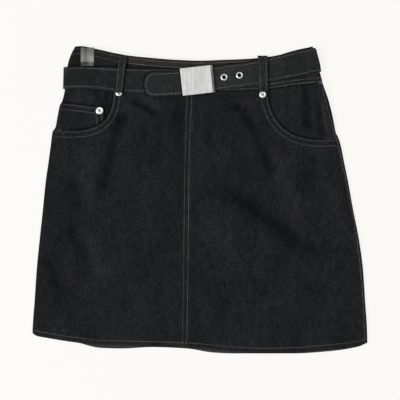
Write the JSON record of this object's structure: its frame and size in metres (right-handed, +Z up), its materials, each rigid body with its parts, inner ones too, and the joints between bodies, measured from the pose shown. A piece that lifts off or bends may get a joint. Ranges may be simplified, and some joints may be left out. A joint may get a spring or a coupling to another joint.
{
  "type": "denim skirt",
  "caption": "Short A-line denim skirt laid flat, with a fastened denim belt, plate buckle, curved front pockets and contrast stitching.",
  "frame": {"origin": "on the surface that the skirt lies on, at the middle of its outline", "axes": "+X to the right across the front, +Y from the hem towards the waist, +Z up out of the front"},
  "size_m": [0.4882, 0.4474, 0.019],
  "materials": {
    "denim": "raw blue-black denim, matt twill with a light fleck, topstitched in dull tan-grey thread",
    "belt_denim": "the same denim, doubled and stitched along both edges",
    "steel": "satin nickel-silver metal, fine brushing on the plate, polished rims on rivets and eyelets",
    "satin": "grey satin ribbon, bare, with a soft vertical sheen"
  },
  "bodies": {
    "root": {"front_left": "denim", "front_right": "denim", "back_left": "denim", "back_right": "denim", "yoke_left": "denim", "yoke_right": "denim", "coin_pocket": "denim", "waistband_front": "denim", "waistband_back": "denim", "loop_front_left": "denim", "loop_front_right": "denim", "loop_back_left": "denim", "loop_back_centre": "denim", "loop_back_right": "denim", "belt_left": "belt_denim", "belt_right": "belt_denim", "belt_back": "belt_denim", "buckle_plate": "steel", "eyelet_1": "steel", "eyelet_2": "steel", "rivet_pocket_left": "steel", "rivet_pocket_right": "steel", "rivet_coin": "steel", "tab": "satin"}
  },
  "joints": []
}
